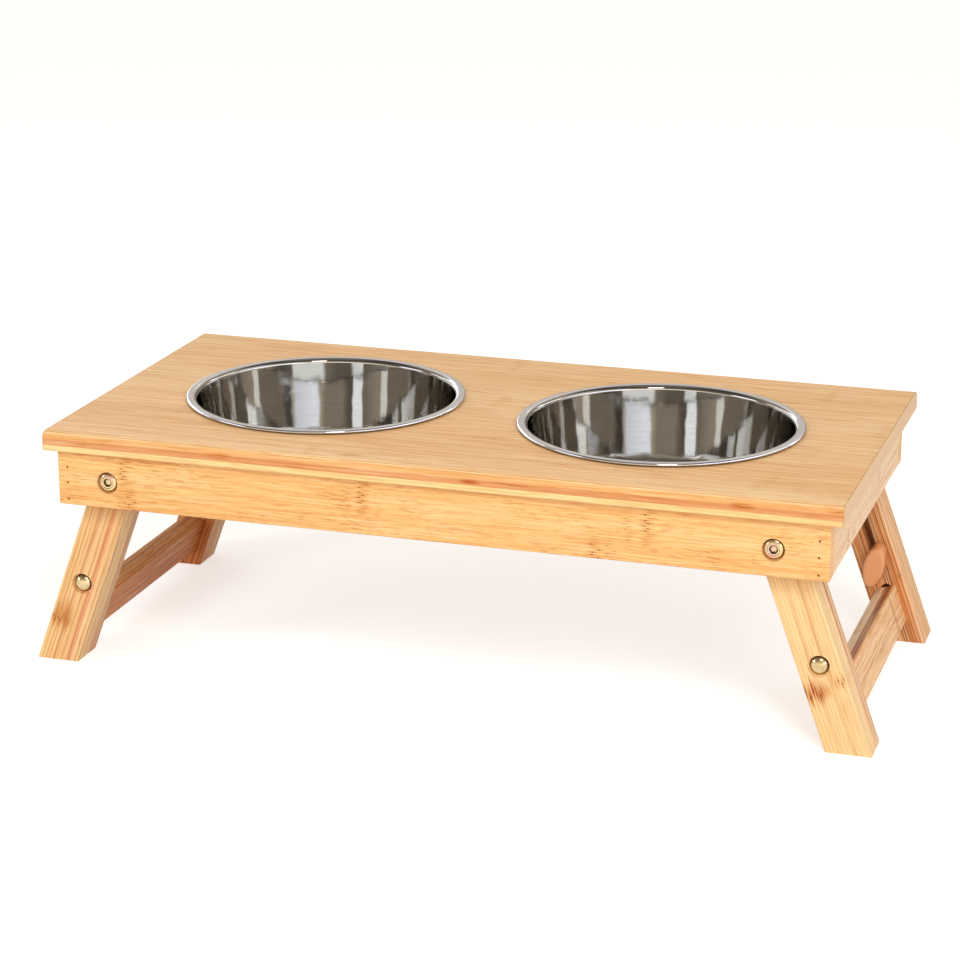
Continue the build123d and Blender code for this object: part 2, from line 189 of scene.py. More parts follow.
    # Browned patches beside a node, broken up by the short dashes.
    for (at, middle, level), halves, code in patches:
        off = add(tree, "ShaderNodeVectorMath", add(tree, "ShaderNodeCombineXYZ", push, bent, depth),
                  (at + scatter / 2, middle, level), operation="SUBTRACT")
        size = add(tree, "ShaderNodeVectorMath", off, [1 / half for half in halves], operation="MULTIPLY")
        far = add(tree, "ShaderNodeVectorMath", size, operation="LENGTH")
        share = add(tree, "ShaderNodeMath", add(tree, "ShaderNodeMapRange", far, 0.4, 1.1, 1.0, 0.0),
                    add(tree, "ShaderNodeMapRange", short, 0.38, 0.56, 0.3, 1.0), operation="MULTIPLY")
        tone = add(tree, "ShaderNodeMix", share, tone, colour(code), data_type="RGBA", blend_type="MULTIPLY")

    # Slightly warmer and paler lengths, as sap and light leave them in the cane.
    cloud_spot = add(tree, "ShaderNodeCombineXYZ",
                     add(tree, "ShaderNodeMath", shifted, 120.0, operation="DIVIDE"),
                     add(tree, "ShaderNodeMath", over, 10.0, operation="DIVIDE"))
    cloud = add(tree, "ShaderNodeTexNoise", cloud_spot, named={"Scale": 1.0, "Detail": 1.0})
    warm = add(tree, "ShaderNodeMapRange", cloud, 0.35, 0.75, 0.0, 0.4)
    tone = add(tree, "ShaderNodeMix", warm, tone, colour("#f2dcc4"), data_type="RGBA", blend_type="MULTIPLY")
    if ends:
        middle, half, code = ends
        past = add(tree, "ShaderNodeMath", along, middle, operation="SUBTRACT")
        size = add(tree, "ShaderNodeMath", past, operation="ABSOLUTE")
        worn = add(tree, "ShaderNodeMapRange", size, half - 1.1, half - 0.5, 0.0, 0.5)
        tone = add(tree, "ShaderNodeMix", worn, tone, colour("#b58a5c"), data_type="RGBA")
        end_grain = add(tree, "ShaderNodeMapRange", size, half - 0.3, half - 0.05, 0.0, 0.8)
        tone = add(tree, "ShaderNodeMix", end_grain, tone, colour(code), data_type="RGBA")

    rough = add(tree, "ShaderNodeMapRange", fine, 0.3, 0.7, 0.4, 0.52)
    bump = add(tree, "ShaderNodeBump", named={"Strength": 0.35, "Distance": 0.05 * MM,
               "Height": add(tree, "ShaderNodeMath", fine, height, operation="SUBTRACT")})
    shader = add(tree, "ShaderNodeBsdfPrincipled",
                 named={"Base Color": tone, "Roughness": rough, "IOR": 1.5, "Specular IOR Level": 0.25,
                        "Normal": bump})
    add(tree, "ShaderNodeOutputMaterial", shader)
    return material


def finish_wood(node, material):
    """Gives a wooden piece of the frame its own bamboo."""
    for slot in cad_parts[node].material_slots:
        slot.material = material


BOARD_END, BOARD_SIDE, BOARD_UNDERSIDE, BOARD_STRIP = 200.0, 103.0, 116.0, 19.3
cane = random.Random(7)
board_tones = ["#f6cd9a", "#f3c893", "#f8d19f", "#f1c48f"]
board_strips = [(BOARD_STRIP * number, cane.choice(board_tones)) for number in range(11)]
finish_wood("top_board", bamboo(
    "three-ply bamboo panel", (0, -BOARD_SIDE, BOARD_UNDERSIDE), (1, 0, 0), (0, 1, 0), 2 * BOARD_SIDE,
    board_strips,
    # The pale band from 8.9 mm is a painted highlight along the rounded top edge, with a thin darker band
    # above it.
    plies=[(0.0, "#ffdb9a"), (3.2, "#d79a62"), (3.4, "#e6a46b"), (5.0, "#de9b64"), (6.3, "#edb073"),
           (6.7, "#efb97a"), (8.9, "#fbd69d"), (9.4, "#cf9a66"), (9.6, "#f4cd90"), (10.5, None)],
    faint=[(159.0, 180.0, 9.0), (196.0, 126.0, 9.0), (159.6, 30.0, 6.0), (155.3, 19.7, 5.0),
           (-12.0, 190.0, 8.0), (-150.0, 60.0, 8.0), (-62.0, 12.0, 6.0), (0.0, 120.0, 8.0)],
    fibre=(45.0, 1.3), dash=(14.0, 1.0, 0.3), streak=0.35, pit=0.25, ends=(0.0, BOARD_END, "#f2cb9e"),
    patches=[((-108.0, 0.0, 6.0), (8.0, 4.0, 2.0), "#e0b070"), ((22.5, 0.0, 5.0), (6.0, 3.0, 1.5), "#d9a668"),
             ((151.3, 0.0, 6.0), (7.0, 3.0, 2.0), "#dcae70"), ((195.0, 0.0, 8.0), (6.0, 4.0, 2.0), "#dcae70"),
             ((-40.0, 9.0, 10.0), (9.0, 2.5, 4.0), "#d9b384")]))

# Apron: four rails of flat-pressed bamboo under the board, glued and nailed at the corners.
# A long rail is two strips glued edge to edge, 17 mm over 11 mm, and its nodes lie across each strip
# in turn. The end rails fit between the long ones.
RAIL_FACE, RAIL_UNDERSIDE, RAIL_HEIGHT, END_RAIL_X = 99.5, 88.0, 28.0, 188.6
RAIL_STRIPS = [(0.0, "#f9c582"), (11.0, "#fac986")]
RAIL_GRAIN = {"fibre": (32.0, 0.85), "dash": (6.5, 0.8, 0.42), "streak": 0.4}
finish_wood("front_rail", bamboo(
    "flat-pressed bamboo, front rail", (0, -RAIL_FACE, RAIL_UNDERSIDE), (1, 0, 0), (0, 0, 1), RAIL_HEIGHT,
    RAIL_STRIPS,
    marks=[(-158.0, 20.5, 6.0), (-154.6, 4.5, 5.0), (-33.2, 18.5, 7.0), (107.8, 19.0, 7.0),
           (82.6, 4.5, 4.5)],
    faint=[(-41.4, 17.0, 6.0), (98.3, 17.0, 6.0), (-160.0, 5.0, 4.0), (90.0, 6.0, 4.0)], **RAIL_GRAIN))
finish_wood("back_rail", bamboo(
    "flat-pressed bamboo, back rail", (0, RAIL_FACE, RAIL_UNDERSIDE), (-1, 0, 0), (0, 0, 1), RAIL_HEIGHT,
    RAIL_STRIPS,
    marks=[(-120.0, 19.0, 6.5), (35.0, 19.0, 6.5), (150.0, 19.0, 6.5), (-60.0, 5.0, 4.5), (88.0, 5.0, 4.5)],
    faint=[(-128.0, 18.0, 6.0), (27.0, 18.0, 6.0)], **RAIL_GRAIN))
# The end rails have paler strips than the long rails. Part of that is painted light, which brightens them in
# the shade under the board.
for side_name, side in (("left", -1), ("right", 1)):
    finish_wood(f"{side_name}_end_rail", bamboo(
        f"flat-pressed bamboo, {side_name} end rail", (side * END_RAIL_X, 0, RAIL_UNDERSIDE), (0, 1, 0),
        (0, 0, 1), RAIL_HEIGHT, [(0.0, "#ffdcb2"), (11.0, "#ffe0b8")],
        marks=[(side * 30.0, 19.0, 6.5), (-side * 52.0, 5.0, 4.5)], **RAIL_GRAIN))

# Rail nails: three square wire brads in each corner of the apron, driven 1.2 mm below the wood, so
# only the dark holes show. Each goes through a long rail into the end of a short one.


def turning_tree():
    """Turns a half-section round its axis and sets the result at every place, each with its own turn.
    The section's X is its radius and its Y the height along the axis; flats make a ring square or
    six-sided."""
    tree = bpy.data.node_groups.new("turned round an axis", "GeometryNodeTree")
    for label, kind in (("Places", "Geometry"), ("Section", "Object"), ("Segments", "Int"),
                        ("Finish", "Material")):
        tree.interface.new_socket(name=label, in_out="INPUT", socket_type=f"NodeSocket{kind}")
    tree.interface.new_socket(name="Result", in_out="OUTPUT", socket_type="NodeSocketGeometry")
    given = add(tree, "NodeGroupInput")
    section = add(tree, "GeometryNodeObjectInfo", given.outputs["Section"]).outputs["Geometry"]
    count = add(tree, "GeometryNodeAttributeDomainSize", section).outputs["Point Count"]
    grid = add(tree, "GeometryNodeMeshGrid", 1.0, 1.0,
               add(tree, "ShaderNodeMath", given.outputs["Segments"], 1.0, operation="ADD"), count)
    sheet = add(tree, "GeometryNodeStoreNamedAttribute", grid.outputs["Mesh"],
                named={"Name": "turning", "Value": grid.outputs["UV Map"]}, data_type="FLOAT2",
                domain="CORNER")
    share = add(tree, "ShaderNodeSeparateXYZ", grid.outputs["UV Map"])
    last = add(tree, "ShaderNodeMath", count, 1.0, operation="SUBTRACT")
    reached = add(tree, "ShaderNodeMath", share.outputs["Y"], last, operation="MULTIPLY")
    step = add(tree, "ShaderNodeMath", reached, operation="ROUND")
    outline = add(tree, "GeometryNodeSampleIndex", section, add(tree, "GeometryNodeInputPosition"), step,
                  data_type="FLOAT_VECTOR")
    # Each section point also carries a share of painted shade, which darkens gaps and sockets.
    flats, painted_shade_share = [add(tree, "GeometryNodeSampleIndex", section,
                       add(tree, "GeometryNodeInputNamedAttribute", label), step, data_type="FLOAT")
                   for label in ("flats", "grime")]
    angle = add(tree, "ShaderNodeMath", share.outputs["X"], 2 * pi, operation="MULTIPLY")
    sides = add(tree, "ShaderNodeMath", flats, 1.0, operation="MAXIMUM")
    side_angle = add(tree, "ShaderNodeMath", 2 * pi, sides, operation="DIVIDE")
    half_side = add(tree, "ShaderNodeMath", side_angle, 0.5, operation="MULTIPLY")
    within = add(tree, "ShaderNodeMath", add(tree, "ShaderNodeMath", angle, side_angle, operation="MODULO"),
                 half_side, operation="SUBTRACT")
    stretch = add(tree, "ShaderNodeMath", 1.0, add(tree, "ShaderNodeMath", within, operation="COSINE"),
                  operation="DIVIDE")
    is_flat = add(tree, "ShaderNodeMath", flats, 2.0, operation="GREATER_THAN")
    factor = add(tree, "ShaderNodeMix", is_flat, 1.0, stretch, data_type="FLOAT")
    parts = add(tree, "ShaderNodeSeparateXYZ", outline)
    radius = add(tree, "ShaderNodeMath", parts.outputs["X"], factor, operation="MULTIPLY")
    ring = add(tree, "ShaderNodeCombineXYZ",
               add(tree, "ShaderNodeMath", radius, add(tree, "ShaderNodeMath", angle, operation="COSINE"),
                   operation="MULTIPLY"),
               add(tree, "ShaderNodeMath", radius, add(tree, "ShaderNodeMath", angle, operation="SINE"),
                   operation="MULTIPLY"), parts.outputs["Y"])
    shaded_sheet = add(tree, "GeometryNodeStoreNamedAttribute", sheet, named={"Name": "grime", "Value": painted_shade_share})
    turned_sheet = add(tree, "GeometryNodeSetPosition", shaded_sheet, None, ring)
    closed = add(tree, "GeometryNodeMergeByDistance", turned_sheet, named={"Distance": 0.001 * MM})
    smooth = add(tree, "GeometryNodeSetShadeSmooth", closed, None, True, domain="FACE")
    bend = add(tree, "GeometryNodeInputMeshEdgeAngle")
    sharp = add(tree, "ShaderNodeMath", bend.outputs["Unsigned Angle"], radians(28.0),
                operation="GREATER_THAN")
    creased = add(tree, "GeometryNodeSetShadeSmooth", smooth, sharp, False, domain="EDGE")
    turn = add(tree, "FunctionNodeEulerToRotation",
               add(tree, "GeometryNodeInputNamedAttribute", "turn", data_type="FLOAT_VECTOR"))
    placed = add(tree, "GeometryNodeInstanceOnPoints", given.outputs["Places"],
                 named={"Instance": creased, "Rotation": turn})
    solid = add(tree, "GeometryNodeRealizeInstances", placed)
    finished = add(tree, "GeometryNodeSetMaterial", solid, named={"Material": given.outputs["Finish"]})
    add(tree, "NodeGroupOutput", finished)
    return tree


turning = turning_tree()


def turned(name, section, places, material, segments=48):
    """A turned piece, or a set of like ones. Section: (radius, height, flats, painted shade) from the axis
    and back to it; the last is the share of dark painted shade in gaps and sockets. Places: (point, Euler
    turn)."""
    drawn = bpy.data.meshes.new(name)
    drawn.from_pydata([(point[0] * MM, point[1] * MM, 0) for point in section],
                      [(number, number + 1) for number in range(len(section) - 1)], [])
    for at, label in ((2, "flats"), (3, "grime")):
        drawn.attributes.new(label, "FLOAT", "POINT").data.foreach_set(
            "value", [(list(point) + [0.0])[at] for point in section])
    half_section = bpy.data.objects.new("half-section", drawn)
    points = bpy.data.meshes.new(name)
    points.from_pydata([[part * MM for part in point] for point, turn in places], [], [])
    points.attributes.new("turn", "FLOAT_VECTOR", "POINT").data.foreach_set(
        "vector", [part for point, turn in places for part in turn])
    piece = bpy.data.objects.new(name, points)
    for item in (half_section, piece):
        bpy.context.collection.objects.link(item)
    modifier = piece.modifiers.new("turning", "NODES")
    modifier.node_group = turning
    values = {"Section": half_section, "Segments": segments, "Finish": material}
    for socket in turning.interface.items_tree:
        if socket.name in values:
            modifier[socket.identifier] = values[socket.name]
    evaluated = piece.evaluated_get(bpy.context.evaluated_depsgraph_get())
    mesh = bpy.data.meshes.new_from_object(evaluated)
    piece.modifiers.clear()
    piece.data = mesh
    bpy.data.objects.remove(half_section)
    return piece


def plated_steel(name, base, stain, roughness):
    """Steel with a thin bright plating, as on small hardware, or the bare metal: faintly clouded, with a soft
    blurred gloss and painted shade in gaps and sockets where the section says so."""
    material = bpy.data.materials.new(name)
    material.use_nodes = True
    tree = material.node_tree
    tree.nodes.clear()
    here = add(tree, "ShaderNodeTexCoord")
    # The passivation clouds change over some 4 mm, the tumbling marks over 0.3 mm.
    clouds = add(tree, "ShaderNodeTexNoise", here.outputs["Object"], named={"Scale": 250.0, "Detail": 1.0})
    marks = add(tree, "ShaderNodeTexNoise", here.outputs["Object"], named={"Scale": 3300.0, "Detail": 1.0})
    share = add(tree, "ShaderNodeMapRange", clouds, 0.35, 0.65, 0.0, 1.0)
    tone = add(tree, "ShaderNodeMix", share, colour(base), colour(stain), data_type="RGBA")
    # Painted shade: dark brown where the section marks a gap or a socket.
    grime = add(tree, "ShaderNodeAttribute", attribute_name="grime")
    tone = add(tree, "ShaderNodeMix", grime.outputs["Fac"], tone, colour("#3a2a1c"), data_type="RGBA")
    rough = add(tree, "ShaderNodeMapRange", marks, 0.3, 0.7, 0.8 * roughness, 1.2 * roughness)
    bump = add(tree, "ShaderNodeBump", named={"Strength": 0.1, "Distance": 0.01 * MM, "Height": marks})
    shader = add(tree, "ShaderNodeBsdfPrincipled",
                 named={"Base Color": tone, "Metallic": 1.0, "Roughness": rough, "Normal": bump})
    add(tree, "ShaderNodeOutputMaterial", shader)
    return material


FACING = {"front": radians(90.0), "back": radians(-90.0)}
CORNERS = [(side, end) for side in (-1, 1) for end in ("front", "back")]
nail = [(0.0, 78.3, 0), (0.35, 78.3, 4), (0.55, 79.4, 4), (0.55, 98.2, 4), (0.45, 98.3, 4), (0.0, 98.3, 0)]
nails = turned("apron_nails", nail,
               [((side * END_RAIL_X, 0, RAIL_UNDERSIDE + height), (FACING[end], radians(45.0), 0))
                for side, end in CORNERS for height in (3.0, 11.5, 19.5)],
               plated_steel("bare steel wire, dulled", "#8f7a62", "#a48d72", 0.5), segments=16)
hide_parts("rail_brads")
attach(nails, "stand")

# Outer leg boards: narrow strips of bamboo glued on edge, so each face shows many fine upright
# lines, a pink heart strip here and there, and short knots where a node was cut through.
LEAN = radians(20.0)
FOOT_X = 204.083
LEG_WIDTH = 21.1
outer_strips = {
    "left_front": [(0.0, "#f4cd94"), (1.6, "#e6b47c"), (2.4, "#f7d49e"), (4.2, "#f2b386"), (6.4, "#f2c68c"),
                   (8.6, "#e2ad74"), (9.2, "#f4ca8e"), (12.2, "#ecbc84"), (13.6, "#f5ca90"),
                   (17.6, "#f9d69a")],
    "right_front": [(0.0, "#fbd79c"), (2.8, "#fedaa0"), (6.4, "#f8ce94"), (7.0, "#fedca2"),
                    (12.6, "#fcd89e"), (16.8, "#f6c98e"), (17.4, "#fedda6")],
    "left_back": [(0.0, "#eebd86"), (3.4, "#dba36d"), (5.0, "#eab581"), (10.2, "#d99f6b"),
                  (12.4, "#ecbb86"), (18.0, "#e3ad78")],
    "right_back": [(0.0, "#efc58c"), (3.0, "#e3b17a"), (5.4, "#f0c78f"), (9.8, "#dfaa72"),
                   (11.4, "#f2ca92"), (17.0, "#e8b981")],
}
outer_marks = {
    "left_front": [(22.0, 17.0, 4.0)],
    "right_front": [(33.0, 3.8, 5.0), (36.3, 18.4, 1.4)],
    "left_back": [(70.0, 6.0, 4.0)],
    "right_back": [(60.0, 14.0, 4.0)],
}
outer_patches = {
    "left_front": [((25.0, 16.5, 0.0), (10.0, 7.0, 400.0), "#dcb481")],
    "right_front": [((33.5, 5.5, 0.0), (7.0, 8.0, 400.0), "#c5824e")],
}
leg_corners = [(f"{side_name}_{end_name}", side_name, side, end)
               for side_name, side in (("left", -1), ("right", 1))
               for end_name, end in (("front", -1), ("back", 1))]


def leg_lines(side):
    """The middle of a leg's foot, the way up the leg and the way outwards across it."""
    return (Vector((side * FOOT_X, 0, 0)), Vector((-side * sin(LEAN), 0, cos(LEAN))),
            Vector((side * cos(LEAN), 0, sin(LEAN))))


for corner, side_name, side, end in leg_corners:
    foot, up_leg, outwards = leg_lines(side)
    finish_wood(f"{corner}_outer_leg", bamboo(
        f"edge-glued bamboo, {corner} outer leg", foot - outwards * LEG_WIDTH / 2, up_leg, outwards,
        LEG_WIDTH, outer_strips[corner],
        marks=outer_marks[corner], fibre=(150.0, 0.6), dash=(20.0, 0.6, 0.4),
        dark_line=0.45 if side < 0 else 0.2, streak=0.65 if side < 0 else 0.4,
        patches=outer_patches.get(corner, ())))

# Pivot bolts and sleeve nuts: flat round heads with a hexagon socket, let into the long rails. Each
# screws into a barrel nut that the leg turns on. Steel, zinc plated and passivated yellow, which
# shimmers from straw to pink.
PIVOT_X, PIVOT_Z = 167.249, 101.2
yellow_zinc = plated_steel("yellow passivated zinc on steel", "#dcc98e", "#dfb9a4", 0.22)
# The fourth value of a point is painted shade: the dark gap round the head, a ring on its face and the inside
# of the hexagon socket.
pivot_bolt = [(0.0, 79.0, 0), (1.9, 79.0, 0), (2.3, 79.5, 0), (2.3, 97.5, 0), (4.9, 97.5, 0),
              (5.0, 97.6, 0, 1), (5.0, 98.0, 0, 1), (4.9, 98.25, 0, 1), (4.7, 98.48, 0, 0.6),
              (4.4, 98.73, 0), (4.05, 98.96, 0),
              (3.7, 99.14, 0), (3.4, 99.25, 0), (3.2, 99.3, 0), (3.05, 99.25, 0, 0.5), (2.9, 99.05, 0, 0.6),
              (2.75, 99.0, 0), (2.25, 99.0, 0), (2.05, 98.95, 6, 0.7), (1.85, 98.8, 6, 1), (1.7, 98.5, 6, 1),
              (1.7, 97.9, 6, 1), (1.2, 97.7, 0, 0.3), (0.6, 97.6, 0), (0.0, 97.5, 0)]
pivot_places = [((side * PIVOT_X, 0, PIVOT_Z), (FACING[end], 0, 0)) for side, end in CORNERS]
pivots = turned("pivot_bolt_set", pivot_bolt, pivot_places, yellow_zinc)
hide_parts("pivot_bolts")
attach(pivots, "stand")
sleeve_nut = [(0.0, 75.7, 0), (1.9, 75.7, 0), (2.3, 76.0, 0), (4.9, 75.7, 0), (5.3, 75.9, 0), (5.5, 76.2, 0),
              (5.5, 77.1, 0), (5.4, 77.2, 0), (3.3, 77.2, 0), (3.3, 89.4, 0), (3.2, 89.5, 0), (2.36, 89.5, 0),
              (2.36, 77.6, 0), (0.0, 77.6, 0)]
sleeves = turned("pivot_sleeve_nut_set", sleeve_nut, pivot_places, yellow_zinc)
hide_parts("pivot_sleeve_nuts")
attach(sleeves, "stand")

# Inner leg boards: the same edge-glued bamboo, cut from redder cane. They slide in the outer ones
# when the clamp knobs are loose, and each has a long slot and a round-ended mortise.
inner_strips = {
    "left_front": [(0.0, "#dfb487"), (5.0, "#cf9a68"), (9.0, "#dba676"), (16.0, "#cf9766")],
    "right_front": [(0.0, "#e8b98a"), (5.0, "#d59f6c"), (9.0, "#dfab7a"), (16.0, "#efc394")],
    "left_back": [(0.0, "#e69e5f"), (4.0, "#c8743f"), (6.0, "#dd8f55"), (8.0, "#be703e"), (9.0, "#dd935b"),
                  (13.0, "#c37843"), (14.0, "#d98f55"), (18.0, "#e1a46a")],
    "right_back": [(0.0, "#e9a870"), (4.2, "#da9760"), (6.0, "#eeb07c"), (10.2, "#a3663a"),
                   (10.5, "#e4a26a"), (11.4, "#98592f"), (11.8, "#e2a06a"), (12.6, "#9c5e34"),
                   (13.0, "#e4a470"), (13.9, "#a3663a"), (14.3, "#dc9860"), (18.0, "#f0bd8c")],
}
for corner, side_name, side, end in leg_corners:
    foot, up_leg, outwards = leg_lines(side)
    finish_wood(f"{corner}_inner_leg", bamboo(
        f"edge-glued bamboo, {corner} inner leg", foot - outwards * LEG_WIDTH / 2, up_leg, outwards,
        LEG_WIDTH, inner_strips[corner],
        node_gap=170.0, fibre=(150.0, 0.8), dash=(30.0, 0.9, 0.35), dark_line=0.7, streak=0.7))

# Crossbars: one bar of bamboo between the two sliding boards of a side, glued in by its tenons.
# Its upper face shows a grey-tan strip beside a red-brown one.
BAR_DEPTH = 10.7
crossbar_strips = {
    "left": [(0.0, "#cf8038"), (0.7, "#e6b07c"), (1.0, "#dba26b"), (5.0, "#d29d6b"), (8.0, "#dbaa77")],
    "right": [(0.0, "#eed6b2"), (5.4, "#aa7048"), (8.6, "#c08a5c"), (9.4, "#f8cc98")],
}
for side_name, side in (("left", -1), ("right", 1)):
    foot, up_leg, outwards = leg_lines(side)
    finish_wood(f"{side_name}_crossbar", bamboo(
        f"edge-glued bamboo, {side_name} crossbar", foot + up_leg * BAR_DEPTH - outwards * BAR_DEPTH / 2,
        (0, 1, 0), outwards, BAR_DEPTH, crossbar_strips[side_name], node_gap=260.0, fibre=(50.0, 0.9),
        dash=(12.0, 0.8, 0.6), dark_line=0.4, streak=0.4))

# Clamp bolts and washers: domed bolts with a square neck that bites into the outer board. Each goes
# through the slot of the sliding board and a flat washer into its knob. Steel, the bolts with zinc of
# a brass colour and a soft, even gloss.
CLAMP_X, CLAMP_Z = 188.555, 42.662
DOME_RADIUS, DOME_TOP = 5.802, 90.0
# The fourth value of a point is painted shade: a dark ring round the foot of the dome, where it sits in its
# recess.
clamp_bolt = [(0.0, 57.8, 0), (1.7, 57.8, 0), (2.0, 58.1, 0), (2.0, 85.1, 0), (2.2, 85.1, 4), (2.2, 87.6, 4),
              (4.6, 87.6, 0, 1)]
clamp_bolt += [(DOME_RADIUS * sin(radians(angle)), DOME_TOP - DOME_RADIUS * (1 - cos(radians(angle))), 0,
                grime)
               for angle, grime in ((54, 1), (50, 1), (46, 0.5), (42, 0), (37, 0), (32, 0), (27, 0), (22, 0),
                                    (17, 0), (12, 0), (6, 0), (0, 0))]
washer = [(2.06, 66.6, 0), (4.4, 66.6, 0), (4.5, 66.7, 0), (4.5, 67.3, 0), (4.4, 67.4, 0), (2.16, 67.4, 0),
          (2.06, 67.3, 0), (2.06, 66.6, 0)]
brass_zinc = plated_steel("brass-coloured zinc on steel", "#c9b183", "#d8c49a", 0.26)
for side_name, side in (("left", -1), ("right", 1)):
    places = [((side * CLAMP_X, 0, CLAMP_Z), (turn, radians(45.0) - side * LEAN, 0))
              for turn in FACING.values()]
    for name, section, node in ((f"{side_name}_clamp_bolt_pair", clamp_bolt, f"{side_name}_clamp_bolts"),
                                (f"{side_name}_clamp_washer_pair", washer, f"{side_name}_clamp_washers")):
        pair = turned(name, section, places, brass_zinc if section is clamp_bolt else yellow_zinc)
        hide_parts(node)
        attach(pair, f"{side_name}_legs")

# Thumb knobs: oval knobs moulded of tan plastic to match the bamboo, with a flat face, a slight draft
# and a rounded edge. A threaded brass sleeve is moulded into the base of each.
KNOB_BASE, KNOB_THICK, EDGE_ROUND = 66.4, 11.0, 1.2
HALF_LENGTH, HALF_WIDTH, END_ROUND, FLANK_ROUND = 11.0, 5.5, 3.6, 18.961
MEETING = atan2(HALF_LENGTH - END_ROUND, FLANK_ROUND - HALF_WIDTH)
# Rings from the hole in the base round to the face: half width, half length and depth. A ring with no
# half width follows the oval, moved in by its second value.
knob_rings = [(0.0, 0.0, 9.2), (2.2, 2.2, 9.2), (2.2, 2.2, 8.0), (3.02, 3.02, 8.0), (3.02, 3.02, 0.0)]
DRAFT = tan(radians(2.0))
knob_edge = [(0.35, 0.0), (0.1, 0.1), (0.0, 0.35)]
for number in range(9):
    angle = radians(90.0 * number / 8)
    knob_edge.append((DRAFT * (KNOB_THICK - EDGE_ROUND) + EDGE_ROUND * (1 - cos(angle)),
                      KNOB_THICK - EDGE_ROUND + EDGE_ROUND * sin(angle)))
knob_rings += [(None, inset, depth) for inset, depth in knob_edge]
knob_rings += [(3.4, 7.9, KNOB_THICK), (2.2, 5.2, KNOB_THICK), (1.1, 2.6, KNOB_THICK),
               (0.0, 0.0, KNOB_THICK)]
KNOB_SIDES = 64
knob_plastic = bpy.data.materials.new("tan ABS, moulded in a polished tool")
knob_plastic.use_nodes = True
tree = knob_plastic.node_tree
tree.nodes.clear()
here = add(tree, "ShaderNodeTexCoord")
# Slight flow marks some 6 mm across, and a skin of 0.5 mm ripples that softens the gloss.
flow = add(tree, "ShaderNodeTexNoise", here.outputs["Object"], named={"Scale": 160.0, "Detail": 1.0})
skin = add(tree, "ShaderNodeTexNoise", here.outputs["Object"], named={"Scale": 2000.0, "Detail": 1.0})
tone = add(tree, "ShaderNodeMix", flow, colour("#e99d66"), colour("#eda56e"), data_type="RGBA")
rough = add(tree, "ShaderNodeMapRange", skin, 0.3, 0.7, 0.2, 0.26)
bump = add(tree, "ShaderNodeBump", named={"Strength": 0.15, "Distance": 0.01 * MM, "Height": skin})
add(tree, "ShaderNodeOutputMaterial", add(tree, "ShaderNodeBsdfPrincipled", named={
    "Base Color": tone, "Roughness": rough, "IOR": 1.54, "Normal": bump}))
brass = plated_steel("turned brass", "#d6b25e", "#dcbf7a", 0.28)
insert = [(2.06, 58.4, 0), (3.0, 58.4, 0), (3.0, 66.4, 0), (2.06, 66.4, 0), (2.06, 58.4, 0)]
for corner, side_name, side, end in leg_corners:
    axis = Vector((side * CLAMP_X, end * KNOB_BASE, CLAMP_Z))
    inwards = Vector((0, -end, 0))
    lean_in = radians(10.0 * side)
    longways = Vector((sin(lean_in), 0, cos(lean_in)))
    wide = longways.cross(inwards)
    points, faces = [], []
    for half_width, half_length, depth in knob_rings:
        for number in range(KNOB_SIDES):
            angle = 2 * pi * number / KNOB_SIDES
            x, y = cos(angle), sin(angle)
            if half_width is not None:
                x, y = half_width * x, half_length * y
            elif abs(y) <= sin(MEETING):
                shift = FLANK_ROUND - HALF_WIDTH
                x = (FLANK_ROUND - half_length) * x - (shift if x > 0 else -shift)
                y = (FLANK_ROUND - half_length) * y
            else:
                shift = HALF_LENGTH - END_ROUND
                x = (END_ROUND - half_length) * x
                y = (END_ROUND - half_length) * y + (shift if y > 0 else -shift)
            points.append((axis + wide * x + longways * y + inwards * depth) * MM)
    for ring in range(len(knob_rings) - 1):
        for number in range(KNOB_SIDES):
            after = (number + 1) % KNOB_SIDES
            faces.append([ring * KNOB_SIDES + number, ring * KNOB_SIDES + after,
                          (ring + 1) * KNOB_SIDES + after, (ring + 1) * KNOB_SIDES + number])
    mesh = bpy.data.meshes.new(f"{corner}_thumb_knob")
    mesh.from_pydata(points, [], faces)
    shape = bmesh.new()
    shape.from_mesh(mesh)
    bmesh.ops.remove_doubles(shape, verts=shape.verts, dist=0.001 * MM)
    bmesh.ops.recalc_face_normals(shape, faces=shape.faces)
    for face in shape.faces:
        face.smooth = True
    for edge in shape.edges:
        edge.smooth = edge.calc_face_angle(0.0) < radians(35.0)
    shape.to_mesh(mesh)
    shape.free()
    mesh.materials.append(knob_plastic)
    knob = bpy.data.objects.new(f"{corner}_thumb_knob", mesh)
    bpy.context.collection.objects.link(knob)
    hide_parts(f"{corner}_knob")
    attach(knob, f"{corner}_knob")
    sleeve = turned(f"{corner}_brass_insert", insert,
                    [((side * CLAMP_X, 0, CLAMP_Z), (FACING["front" if end < 0 else "back"], 0, 0))], brass)
    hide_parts(f"{corner}_knob_insert")
    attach(sleeve, f"{corner}_knob")

# Bowls: sheet steel 0.8 mm thick, deep drawn, with a flat rim that rests on the board and a rolled
# edge. The inside is polished on a spindle, which leaves fine rings and draws reflections out upwards.


